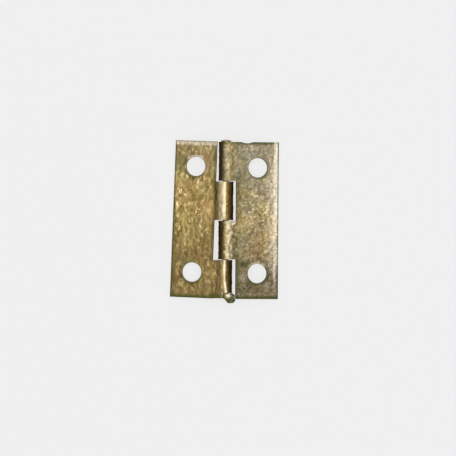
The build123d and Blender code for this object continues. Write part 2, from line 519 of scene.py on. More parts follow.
KNUCKLES = {
    RIGHT: (
        Knuckle(-6.3, 0.0, swell=0.10, slope=0.15, flank=0.57, shine=0.56, start=-0.06, end=0.76, foot=0.35),
        Knuckle(6.2, 12.6, swell=0.10, slope=0.48, flank=0.72),
    ),
    LEFT: (
        Knuckle(-6.3, 0.0, swell=0.22, slope=0.30, flank=0.52, shine=1.0, start=-0.10, end=0.23,
                beside=0.85, foot=1.0, fade=0.6),
        Knuckle(6.2, 12.6, swell=0.10, slope=0.22, flank=0.44, shine=1.0, start=-0.11, end=0.16,
                wander=0.25, fade=0.35),
    ),
}
# tarnish along the bottom edges paints shade, the right leaf is darker along its outer and top edges, and rub
# along the left leaf's top edge paints a highlight
EDGES = {
    RIGHT: (
        EdgeWear("tarnish_and_shade", "foot", 0.85, -1, 0.50, 0.20),
        EdgeWear("tarnish_and_shade", "outer", 0.70, -1, 0.12, 0.06),
        EdgeWear("tarnish_and_shade", "top", 0.80, -1, 0.42, 0.12),
        EdgeWear("rub_and_highlight", "foot", 0.07, 0.50, 0.90, 0.12),
    ),
    LEFT: (
        EdgeWear("tarnish_and_shade", "foot", 0.85, -1, 0.50, 0.20),
        EdgeWear("rub_and_highlight", "top", 0.62, 0.03, 0.66, 0.06),
    ),
}
# painted shade along the left leaf's inner edge beside the slits, and along its outer edge
SLIT_EDGE = EdgeWear("tarnish_and_shade", "inner", 0.50, -1, 0.28, 0.10)
LEFT_OUTER = EdgeWear("tarnish_and_shade", "outer", 0.60, -1, 0.48, 0.16)
MARKS = {
    RIGHT: (
        Mark("stain", 4.2, -5.0, 2.6, 1.3, 0.6),
        Mark("stain", 5.0, -2.5, 3.4, 5.0, 0.35),
        Mark("stain", 1.05, 10.9, 0.75, 1.6, 0.5),
        Mark("tarnish_and_shade", 2.5, 5.3, 1.7, 4.6, 0.42),
        # this tarnish mark paints shade at the lower end of the top knuckle
        Mark("tarnish_and_shade", 1.2, 6.5, 2.0, 1.0, 0.5),
        Mark("tarnish_and_shade", 3.2, -7.0, 2.6, 1.0, 0.5),
        Mark("tarnish_and_shade", 3.0, -2.0, 1.4, 1.9, 0.32),
        Mark("patina_and_shade", 1.9, 3.4, 0.9, 3.2, 0.30),
        Mark("patina_and_shade", 3.6, -6.7, 3.6, 0.8, 0.30),
        Mark("gild_and_highlight", 5.5, 2.0, 1.8, 1.7, 0.35),
        # this rub mark paints the highlight on the top end of the right leaf's lower knuckle
        Mark("rub_and_highlight", 0.7, -0.35, 1.0, 0.6, 0.9),
        Mark("rub_and_highlight", 6.4, -10.6, 0.9, 1.4, 0.16),
        Mark("rub_and_highlight", 2.7, -9.0, 1.0, 1.2, 0.16),
    ),
    LEFT: (
        Mark("stain", 2.9, -9.6, 1.0, 2.2, 0.8),
        Mark("stain", 2.6, 4.0, 0.9, 2.5, 0.5),
        Mark("stain", 3.0, -3.6, 1.4, 1.6, 0.3),
        Mark("tarnish_and_shade", 1.5, 12.2, 1.8, 0.75, 0.95),
        Mark("tarnish_and_shade", 7.4, -9.8, 1.1, 1.7, 0.42),
        Mark("patina_and_shade", 4.0, -0.8, 0.7, 1.8, 0.30),
        Mark("patina_and_shade", 3.1, 10.4, 1.0, 1.6, 0.28),
        Mark("gild_and_highlight", 6.4, -0.3, 1.6, 1.9, 0.30),
        Mark("gild_and_highlight", 7.5, -6.5, 1.2, 2.0, 0.35),
        Mark("gild_and_highlight", 5.6, 2.6, 1.6, 2.8, 0.30),
        # this gild mark paints light on the slope of the lowest knuckle
        Mark("gild_and_highlight", 1.45, 8.9, 0.7, 2.6, 0.25),
        # this rub mark paints a highlight near the lower end of the lowest knuckle
        Mark("rub_and_highlight", 0.30, 11.65, 0.30, 0.22, 0.60),
    ),
}
# share of a mark's size over which it fades out
MARK_FADE = (0.3, 1.0)
# along the pin: where a knuckle's painted highlight moves aside, and the length over which it fades
WANDER_STRETCH = (9.2, 11.4)
FADE_LENGTH = 1.6
# across from the pin's axis: how softly the crest's painted highlight ends, and where the painted highlight
# beside it ends and how softly
CREST_EASE = 0.05
BESIDE_END, BESIDE_EASE = 0.94, 0.06
# the slope painted lighter, its foot painted dark as patina and shade in the crease, and where the painted
# shade on the far side starts
SLOPE_BAND = (0.0, 1.30, 0.25)
FOOT_START, FOOT_END = (0.95, 1.20), (1.45, 2.35)
FLANK_START = 0.08
# strengths of the painted highlight beside the crest and of the painted shade on the far side
BESIDE_HIGHLIGHT, FLANK_DARK = 0.65, 0.95
# round a hole: the width of its rim, darker below and outside and with a painted highlight above, the
# directions out, down and up where it counts, and the strengths
RIM_WIDTH = (0.08, 0.50)
RIM_OUT, RIM_DOWN, RIM_UP = (0.2, 0.9), (0.0, 0.9), (0.45, 0.9)
DARK_RIM, DARK_DOWN, DARK_OUT, BRIGHT_UP = 0.2, 0.5, 0.4, 0.6
# the right leaf's haze of painted shade beside its inner edge: its strength, and where it starts and ends
INNER_HAZE, INNER_HAZE_START, INNER_HAZE_END = 0.22, (-0.3, 0.2), (0.1, 2.6)
# the painted highlight along its outer edge: its lower end, its fainter part, its sides and how softly they
# end
EDGE_HIGHLIGHT_LOW = (-12.0, -6.0)
EDGE_HIGHLIGHT_FAINT, EDGE_HIGHLIGHT_FULL = 0.85, (-1.5, 1.5)
EDGE_HIGHLIGHT_SIDES, EDGE_HIGHLIGHT_EASE = (0.20, 0.80), 0.05
# how far that strip narrows below the middle, and where
EDGE_HIGHLIGHT_NARROW, EDGE_HIGHLIGHT_NARROWS = 0.24, (1.5, -4.0)
# the paler haze inside that strip, also painted light: its strength, where it ends, and its stretch along the
# pin
PALE_HAZE, PALE_HAZE_END, PALE_HAZE_STRETCH = 0.42, (0.6, 2.6), (-7.8, 10.0, 1.8)
# distances from the top over which the painted shade starts along the left leaf's outer edge
LEFT_OUTER_START = (3.0, 8.0)
# points this near to the front face stay clean
FRONT_DEPTH = 0.001


def marked(mark, s, v):
    """How strong a mark is at a place."""
    away = hypot((s - mark.s) / mark.across, (v - mark.v) / mark.along)
    return mark.strength * (1 - smooth(*MARK_FADE, away))


def edged(edge, distance):
    """How strong the wear along an edge is at a distance in from it."""
    return edge.strength * band(edge.near, edge.far, edge.ease, distance)


def painted_knuckle_light(leaf, knuckle, s, v):
    """Painted highlights and painted shade, with patina at the foot, of a point on a knuckle strip or on the
    plate beside it.
    """
    across = s - leaf["curl_start"]
    moved = across + knuckle.wander * smooth(*WANDER_STRETCH, v)
    kept = 1 - knuckle.fade * smooth(knuckle.high - FADE_LENGTH, knuckle.high, v)
    beside = knuckle.beside * band(knuckle.end, BESIDE_END, BESIDE_EASE, moved)
    foot = knuckle.foot * smooth(*FOOT_START, across) * (1 - smooth(*FOOT_END, across))
    return {
        "crest_highlight": knuckle.shine * kept * band(knuckle.start, knuckle.end, CREST_EASE, moved),
        "rub_and_highlight": BESIDE_HIGHLIGHT * beside,
        "gild_and_highlight": max(beside, knuckle.slope * band(*SLOPE_BAND, across)),
        "patina_and_shade": max(foot, FLANK_DARK * smooth(FLANK_START, knuckle.flank, -moved)),
    }


def rim_tone_and_highlight(blank, side, p, q):
    """Darker round the holes, most below and outside, with a painted highlight above."""
    tarnish_and_shade, rub_and_highlight = 0.0, 0.0
    for hp, hq in blank.holes:
        r = hypot(p - hp, q - hq)
        rim = 1 - smooth(*RIM_WIDTH, r - blank.leaf["hole"] / 2)
        up, out = side * (q - hq) / r, (p - hp) / r
        outer = DARK_OUT * smooth(*RIM_OUT, out) if side == RIGHT else 0.0
        tarnish_and_shade = max(tarnish_and_shade, rim * (DARK_RIM + DARK_DOWN * smooth(*RIM_DOWN, -up) + outer))
        rub_and_highlight = max(rub_and_highlight, BRIGHT_UP * rim * smooth(*RIM_UP, up))
    return tarnish_and_shade, rub_and_highlight


def painted_edge_highlight(out, v):
    """Painted highlight on the right leaf: a bright strip along its outer edge, and a paler haze inside."""
    highlight = (EDGE_HIGHLIGHT_FAINT + (1 - EDGE_HIGHLIGHT_FAINT) * smooth(*EDGE_HIGHLIGHT_FULL, v)) * smooth(*EDGE_HIGHLIGHT_LOW, v)
    near, far = EDGE_HIGHLIGHT_SIDES
    highlight *= band(near + EDGE_HIGHLIGHT_NARROW * smooth(*EDGE_HIGHLIGHT_NARROWS, v), far, EDGE_HIGHLIGHT_EASE, out)
    haze = PALE_HAZE * (1 - smooth(*PALE_HAZE_END, out)) * band(*PALE_HAZE_STRETCH, v)
    return max(highlight, haze)


def wear_and_painted_light(blank, side):
    """Gives each point of a leaf's blank how worn the sheet is there, and how much shade and highlight is
    painted there.
    """
    leaf = blank.leaf
    for s, v, n in blank.points:
        p, q = s * blank.square - v * blank.lean, s * blank.lean + v * blank.square
        here = dict.fromkeys(WEAR_AND_LIGHT, 0.0)
        if n > FRONT_DEPTH - leaf["sheet"] / 2:
            outer, inner = leaf["reach"] - p, p - leaf["root"]
            top, foot = blank.half - side * q, blank.half + side * q
            inward = {"outer": outer, "top": top, "foot": foot}
            here["tarnish_and_shade"], here["rub_and_highlight"] = rim_tone_and_highlight(blank, side, p, q)
            for knuckle in KNUCKLES[side]:
                if knuckle.low <= v <= knuckle.high:
                    here.update(painted_knuckle_light(leaf, knuckle, s, v))
            found = [(edge.wear, edged(edge, inward[edge.edge])) for edge in EDGES[side]]
            found += [(mark.wear, marked(mark, s, v)) for mark in MARKS[side]]
            if blank.strip_gap(leaf["root"], v) < 0:
                found.append((SLIT_EDGE.wear, edged(SLIT_EDGE, inner)))
            if side == RIGHT:
                # painted shade beside the inner edge, and a painted highlight along the outer edge
                hazy = smooth(*INNER_HAZE_START, inner) * (1 - smooth(*INNER_HAZE_END, inner))
                found += [("tarnish_and_shade", INNER_HAZE * hazy), ("rub_and_highlight", painted_edge_highlight(outer, v))]
            else:
                found.append((LEFT_OUTER.wear, smooth(*LEFT_OUTER_START, top) * edged(LEFT_OUTER, outer)))
            for wear, strength in found:
                here[wear] = max(here[wear], strength)
        for key in WEAR_AND_LIGHT:
            blank.wear[key].append(here[key])


# Pin, before its end is bent: head, shank and ball turned about the s axis

PIN_TURNS = 56
DOME_ROWS, RIM_ROWS, SHANK_ROWS, NECK_ROWS, BALL_ROWS = 12, 3, 60, 20, 28
# where the neck's rows start, where it starts to thicken, and by how much it has at the ball
NECK_START = 0.2
NECK_THICKENS = -0.1
NECK_SWELL = 0.22
# how far the neck is hammered flat, and where that starts
NECK_FLAT = 0.075
NECK_FLATTENS = (0.05, -0.25)
# flats that peening left on the ball, and how far out they lie as shares of its radius
PEEN_SEED = 11
PEEN_COUNT = 16
PEEN_DEPTH = (0.90, 0.97)
# the largest flat: its direction from the ball's middle, and how far out it lies
HAMMERED_FACET = (0.253, -0.966, -0.05, 0.634)
# how far from the pin's axis the ball may reach beside the right leaf's corner
CORNER_REACH = 1.53
# painted highlight on the upper side of the neck, across and along the hinge after the bend, and the heights
# where it starts
NECK_HIGHLIGHT = Mark("rub_and_highlight", 0.52, -0.44, 0.58, 0.52, 1.0)
NECK_HIGHLIGHT_HEIGHT = (-0.05, 0.2)
# where the bent end and the head start, and how much darker and paler they are painted
BENT_END, HEAD_END = (0.1, -0.2), (-0.1, 0.0)
BENT_TARNISH, HEAD_TARNISH, HEAD_RUB = 0.72, 0.45, 0.3


def pin_rows(pin, ball_s, neck_a):
    """Places along the pin and radii there, from the top of the head to the ball's far side."""
    wire_r, head_r, ball_r, seat = pin["wire"] / 2, pin["head"] / 2, pin["ball"] / 2, pin["seat"]
    top, rim = seat + pin["head_rise"], seat + pin["head_rim"]
    dome_rise = top - rim
    dome_r = (head_r * head_r + dome_rise * dome_rise) / (2 * dome_rise)
    dome = asin(head_r / dome_r)
    rows = []
    for k in range(1, DOME_ROWS + 1):
        a = dome * k / DOME_ROWS
        rows.append((top - dome_r * (1 - cos(a)), dome_r * sin(a)))
    rows += [(rim + (seat - rim) * k / RIM_ROWS, head_r) for k in range(1, RIM_ROWS + 1)]
    rows += [(seat, head_r + (wire_r - head_r) * k / RIM_ROWS) for k in range(1, RIM_ROWS + 1)]
    rows += [(seat + (NECK_START - seat) * k / SHANK_ROWS, wire_r) for k in range(1, SHANK_ROWS + 1)]
    neck_s = ball_s + ball_r * cos(neck_a)
    for k in range(1, NECK_ROWS + 1):
        s = NECK_START + (neck_s - NECK_START) * k / NECK_ROWS
        rows.append((s, wire_r + NECK_SWELL * smooth(NECK_THICKENS, neck_s, s)))
    for k in range(1, BALL_ROWS):
        a = neck_a + (pi - neck_a) * k / BALL_ROWS
        rows.append((ball_s + ball_r * cos(a), ball_r * sin(a)))
    return rows


def peened(away, peens):
    """A direction from the ball's middle, cut back where a peen has flattened the ball."""
    for *facet, depth in peens:
        facing = sum(a * b for a, b in zip(away, facet))
        if facing > depth:
            away = [c * depth / facing for c in away]
    return away


def bent_place(pin, s, n):
    """Where a point of the straight pin lies across and along the hinge once its end is bent."""
    radius = pin["bend_radius"]
    turn = min(max(-s, 0.0) / radius, pin["bend"])
    past = -s - radius * turn
    across = radius * (1 - cos(turn)) + past * sin(turn) - n * cos(turn)
    return across, -radius * sin(turn) - past * cos(turn) - n * sin(turn)


def clear_of_leaf(pin, s, v, n):
    """A point of the ball, pressed back where it would foul the corner of the right leaf."""
    across, along = bent_place(pin, s, n)
    limit = CORNER_REACH + max(0.0, pin["leaf_end"] - along)
    reach = hypot(across, v)
    if reach <= limit:
        return s, v, n
    back = across * (1 - limit / reach)
    return s + back * sin(pin["bend"]), v * limit / reach, n + back * cos(pin["bend"])


def pin_blank(pin):
    """Straight pin with its head, its shank and its peened ball."""
    blank = Blank(0.0)
    wire_r, ball_r = pin["wire"] / 2, pin["ball"] / 2
    ball_s = -(pin["bend_radius"] * pin["bend"] + pin["ball_neck"])
    neck_a = asin((wire_r + NECK_SWELL) / ball_r)
    neck_s = ball_s + ball_r * cos(neck_a)
    draw = Random(PEEN_SEED)
    peens = [HAMMERED_FACET]
    for _ in range(PEEN_COUNT):
        z = draw.uniform(-1, 1)
        a = draw.uniform(0, 2 * pi)
        flat = sqrt(1 - z * z)
        peens.append((z, flat * cos(a), flat * sin(a), draw.uniform(*PEEN_DEPTH)))

    def on_ball(away):
        """The place on the ball in a direction from its middle."""
        s, v, n = [c * ball_r for c in peened(away, peens)]
        return clear_of_leaf(pin, ball_s + s, v, n - pin["ball_aside"])

    rings = []
    for s, r in pin_rows(pin, ball_s, neck_a):
        ring = []
        # the bent end has been hammered flat on its upper side, and runs into one side of the ball
        top = NECK_FLAT * smooth(*NECK_FLATTENS, s) - wire_r
        aside = pin["ball_aside"] * smooth(0.0, neck_s, s)
        for k in range(PIN_TURNS):
            turn = 2 * pi * k / PIN_TURNS
            v, n = r * cos(turn), r * sin(turn)
            ring.append(len(blank.points))
            if s < neck_s - NEAR:
                blank.points.append(on_ball([(s - ball_s) / ball_r, v / ball_r, n / ball_r]))
            else:
                blank.points.append((s, max(v, top) if s < 0 else v, n - aside))
        rings.append(ring)
    for near, far in zip(rings, rings[1:]):
        for k in range(PIN_TURNS):
            blank.faces.append((near[k - 1], far[k - 1], far[k], near[k]))
    tip = len(blank.points)
    blank.points.append((pin["seat"] + pin["head_rise"], 0.0, 0.0))
    blank.points.append(on_ball([-1.0, 0.0, 0.0]))
    for k in range(PIN_TURNS):
        blank.faces.append((tip, rings[0][k - 1], rings[0][k]))
        blank.faces.append((tip + 1, rings[-1][k], rings[-1][k - 1]))
    count = len(blank.points)
    blank.strip = [1.0] * count
    blank.open = [0.0] * count
    blank.wear.update(dict.fromkeys(("patina_and_shade", "stain", "gild_and_highlight", "crest_highlight"), [0.0] * count))
    for s, v, n in blank.points:
        bent_end, head_end = smooth(*BENT_END, s), smooth(*HEAD_END, s - pin["seat"])
        # a painted highlight lies on the neck's upper side, and the bent end is darker
        spot = marked(NECK_HIGHLIGHT, *bent_place(pin, s, n)) * smooth(*NECK_HIGHLIGHT_HEIGHT, -v)
        blank.wear["rub_and_highlight"].append(max(spot, HEAD_RUB * head_end))
        blank.wear["tarnish_and_shade"].append(max(BENT_TARNISH * bent_end, HEAD_TARNISH * head_end))
    return blank


# Cold bend: one tree of nodes that carries a flat blank round its joggle, over the pin and into its curl

BEND_STEPS = (
    ("inward", "SUBTRACT", "Bend Start", "s"),
    ("past start", "MAXIMUM", "inward", 0.0),
    ("bent", "MULTIPLY", "past start", "strip"),
    ("straight", "SUBTRACT", "inward", "bent"),
    ("arc", "MULTIPLY", "Joggle Radius", "Joggle Angle"),
    ("rise run", "MINIMUM", "bent", "arc"),
    ("left 1", "SUBTRACT", "bent", "rise run"),
    ("level run", "MINIMUM", "left 1", "arc"),
    ("left 2", "SUBTRACT", "left 1", "level run"),
    ("flat run", "MINIMUM", "left 2", "Flat Length"),
    ("left 3", "SUBTRACT", "left 2", "flat run"),
    ("whole curl", "MULTIPLY", "Curl Radius", "Curl Angle"),
    ("curl run", "MINIMUM", "left 3", "whole curl"),
    ("tail run", "SUBTRACT", "left 3", "curl run"),
    ("rise a", "DIVIDE", "rise run", "Joggle Radius"),
    ("level a", "DIVIDE", "level run", "Joggle Radius"),
    ("curl a", "DIVIDE", "curl run", "Curl Radius"),
    ("still up", "SUBTRACT", "Joggle Angle", "level a"),
    ("sin rise", "SINE", "rise a", 0.0),
    ("cos rise", "COSINE", "rise a", 0.0),
    ("sin joggle", "SINE", "Joggle Angle", 0.0),
    ("cos joggle", "COSINE", "Joggle Angle", 0.0),
    ("sin up", "SINE", "still up", 0.0),
    ("cos up", "COSINE", "still up", 0.0),
    ("sin curl", "SINE", "curl a", 0.0),
    ("cos curl", "COSINE", "curl a", 0.0),
    ("u 1", "SUBTRACT", "Bend Start", "straight"),
    ("over 1", "ADD", "sin rise", "sin joggle"),
    ("over 2", "SUBTRACT", "over 1", "sin up"),
    ("over 3", "MULTIPLY", "over 2", "Joggle Radius"),
    ("u 2", "SUBTRACT", "u 1", "over 3"),
    ("u 3", "SUBTRACT", "u 2", "flat run"),
    ("curl in", "MULTIPLY", "sin curl", "Curl Radius"),
    ("u 4", "SUBTRACT", "u 3", "curl in"),
    ("tail in", "MULTIPLY", "tail run", "cos curl"),
    ("u 5", "SUBTRACT", "u 4", "tail in"),
    ("lift 1", "SUBTRACT", 1.0, "cos rise"),
    ("lift 2", "ADD", "lift 1", "cos up"),
    ("lift 3", "SUBTRACT", "lift 2", "cos joggle"),
    ("lift 4", "MULTIPLY", "lift 3", "Joggle Radius"),
    ("w 1", "ADD", "Start Height", "lift 4"),
    ("fall 1", "SUBTRACT", "cos curl", 1.0),
    ("fall 2", "MULTIPLY", "fall 1", "Curl Radius"),
    ("w 2", "ADD", "w 1", "fall 2"),
    ("tail down", "MULTIPLY", "tail run", "sin curl"),
    ("w 3", "SUBTRACT", "w 2", "tail down"),
    ("lean 1", "SUBTRACT", "rise a", "level a"),
    ("lean", "SUBTRACT", "lean 1", "curl a"),
    ("sin lean", "SINE", "lean", 0.0),
    ("cos lean", "COSINE", "lean", 0.0),
    ("side", "MULTIPLY", "through", "sin lean"),
    ("up", "MULTIPLY", "through", "cos lean"),
    ("u", "ADD", "u 5", "side"),
    ("w", "ADD", "w 3", "up"),
)
BEND_INPUTS = (
    ("Bend Start", "NodeSocketFloat"),
    ("Joggle Radius", "NodeSocketFloat"),
    ("Joggle Angle", "NodeSocketFloat"),
    ("Flat Length", "NodeSocketFloat"),
    ("Curl Radius", "NodeSocketFloat"),
    ("Curl Angle", "NodeSocketFloat"),
    ("Start Height", "NodeSocketFloat"),
    ("Relief Depth", "NodeSocketFloat"),
    ("Relief Width", "NodeSocketVector"),
    ("Seed", "NodeSocketFloat"),
    ("Outward", "NodeSocketVector"),
    ("Along", "NodeSocketVector"),
    ("Upward", "NodeSocketVector"),
    ("Origin", "NodeSocketVector"),
    ("Plating", "NodeSocketMaterial"),
)


def cold_bend_tree():
    """Builds the tree that dimples a blank, bends it and sets it in its place on the hinge."""
    tree = bpy.data.node_groups.new("Cold bend", "GeometryNodeTree")
    tree.interface.new_socket(name="Geometry", in_out="INPUT", socket_type="NodeSocketGeometry")
    for name, kind in BEND_INPUTS:
        tree.interface.new_socket(name=name, in_out="INPUT", socket_type=kind)
    tree.interface.new_socket(name="Geometry", in_out="OUTPUT", socket_type="NodeSocketGeometry")
    given = add(tree, "NodeGroupInput").node
    place = add(tree, "GeometryNodeInputPosition")
    blank = add(tree, "ShaderNodeVectorMath", {0: place, "Scale": 1 / MM}, operation="SCALE")
    # the flat place of each point stays with it, so that the plating's patterns bend with the sheet
    noted = add(tree, "GeometryNodeStoreNamedAttribute",
                {"Geometry": given.outputs["Geometry"], "Name": "blank", "Value": blank},
                data_type="FLOAT_VECTOR", domain="POINT")
    value = {name: given.outputs[name] for name, _ in BEND_INPUTS}
    parts = add(tree, "ShaderNodeSeparateXYZ", {0: place}).node
    value["s"], value["v"], value["n"] = parts.outputs
    value["strip"] = add(tree, "GeometryNodeInputNamedAttribute", {"Name": "strip"}, data_type="FLOAT")
    bare = add(tree, "GeometryNodeInputNamedAttribute", {"Name": "open"}, data_type="FLOAT")
    fine = add(tree, "ShaderNodeVectorMath", {0: place, 1: value["Relief Width"]}, operation="DIVIDE")
    dimples = add(tree, "ShaderNodeTexNoise",
                  {"Vector": fine, "W": value["Seed"], "Scale": 1.0, "Detail": 1.0, "Distortion": 0.4},
                  noise_dimensions="4D")
    hollow = add(tree, "ShaderNodeMapRange", {0: dimples, 1: NOISE_LOW, 2: NOISE_HIGH, 3: 0.0, 4: 1.0})
    sunk = add(tree, "ShaderNodeMath", {0: hollow, 1: value["Relief Depth"]}, operation="MULTIPLY")
    sink = add(tree, "ShaderNodeMath", {0: sunk, 1: bare}, operation="MULTIPLY")
    value["through"] = add(tree, "ShaderNodeMath", {0: value["n"], 1: sink}, operation="SUBTRACT")
    for name, operation, a, b in BEND_STEPS:
        feeds = {0: value.get(a, a), 1: value.get(b, b)}
        value[name] = add(tree, "ShaderNodeMath", feeds, operation=operation)
    spot = value["Origin"]
    for axis, amount in (("Outward", "u"), ("Along", "v"), ("Upward", "w")):
        step = add(tree, "ShaderNodeVectorMath", {0: value[axis], "Scale": value[amount]}, operation="SCALE")
        spot = add(tree, "ShaderNodeVectorMath", {0: spot, 1: step}, operation="ADD")
    moved = add(tree, "GeometryNodeSetPosition", {"Geometry": noted, "Position": spot})
    real = add(tree, "GeometryNodeRealizeInstances", {"Geometry": moved})
    plated = add(tree, "GeometryNodeSetMaterial", {"Geometry": real, "Material": value["Plating"]})
    add(tree, "NodeGroupOutput", {"Geometry": plated})
    return tree


SHARP_FROM = radians(38)


def bend_piece(name, blank, inputs, body):
    """Turns a blank into the finished piece that stands for the CAD node of its name."""
    flat = bpy.data.meshes.new(name + "_blank")
    flat.from_pydata([tuple(c * MM for c in p) for p in blank.points], [], blank.faces)
    for key, values in {"strip": blank.strip, "open": blank.open, **blank.wear}.items():
        flat.attributes.new(key, "FLOAT", "POINT").data.foreach_set("value", values)
    piece = bpy.data.objects.new(name + "_plated", flat)
    bpy.context.scene.collection.objects.link(piece)
    tree = bpy.data.node_groups.get("Cold bend") or cold_bend_tree()
    bend = piece.modifiers.new("Cold bend", "NODES")
    bend.node_group = tree
    for item in tree.interface.items_tree:
        if item.in_out == "INPUT" and item.name in inputs:
            bend[item.identifier] = inputs[item.name]
    graph = bpy.context.evaluated_depsgraph_get()
    formed = bpy.data.meshes.new_from_object(piece.evaluated_get(graph), depsgraph=graph)
    piece.modifiers.remove(bend)
    piece.data = formed
    formed.name = name + "_plated"
    bpy.data.meshes.remove(flat)
    formed.shade_smooth()
    formed.set_sharp_from_angle(angle=SHARP_FROM)
    if not formed.polygons or "blank" not in formed.attributes:
        raise RuntimeError(name + " did not form")
    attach(piece, body)
    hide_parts(name)
    return piece


# Materials


class Cloud(NamedTuple):
    """Tinted clouds in the plating: their colour, their width in millimetres and their strength."""
    tint: str
    width: float
    strength: float


class EndTint(NamedTuple):
    """Plating tinted towards one end of the hinge, greyer towards the top and darker towards the bottom as
    painted shade: from where to where along it, to what colour, how much.
    """
    start: float
    end: float
    tint: str
    strength: float


class Sheen(NamedTuple):
    """How one kind of wear or painted light looks: its roughness, and how far the flecks break it up."""
    wear: str
    roughness: float
    broken: float


# widths of the patterns and depth of the fine relief, in millimetres
PATCH_WIDTH = 1.15
FLECK_WIDTH = 0.45
CELL_WIDTH = 0.75
SWAY_WIDTH = 0.9
BUMP_DEPTH = 0.03
BUMP_STRENGTH = 0.9
# the metal's reflection at grazing angles is tinted dark, which paints shade along the knuckles' outlines
GRAZING_TINT = (0.25, 0.22, 0.18, 1.0)
# heights of the patches' noise that are deep, dull and golden
DEEP, DULL, GOLD = 0.32, 0.43, 0.56
# heights of the grain where its hollows, partly painted dark as shade, and its flecks, partly painted pale as
# glints, start and are full, and how far they then cover
HOLLOW_START, HOLLOW_FULL, HOLLOW_COVER = 0.46, 0.34, 0.65
FLECK_START, FLECK_FULL, FLECK_COVER = 0.545, 0.61, 0.95
# heights of the clouds' noise where a cloud starts and is full, and the step between two clouds' noises
CLOUD_START, CLOUD_FULL = 0.46, 0.64
CLOUD_APART = 3.7
# heights that a crackled cell runs through from its edge, and how far in it is level
CELL_LOW, CELL_HIGH, CELL_LEVEL = 0.30, 0.68, 0.38
# heights of the grain below which wear is broken up and above which it is whole
BROKEN_BELOW, WHOLE_ABOVE = 0.34, 0.56
# roughness of the hollows and of the flecks
HOLLOW_ROUGH, FLECK_ROUGH = 0.48, 0.34
# tarnish and patina also paint shade, and gild, rub and crest paint light and highlights
SHEENS = (
    Sheen("stain", 0.42, 0.8),
    Sheen("tarnish_and_shade", 0.50, 0.4),
    Sheen("patina_and_shade", 0.42, 0.1),
    Sheen("gild_and_highlight", 0.38, 0.3),
    Sheen("rub_and_highlight", 0.42, 0.4),
    Sheen("crest_highlight", 0.27, 0.1),
)


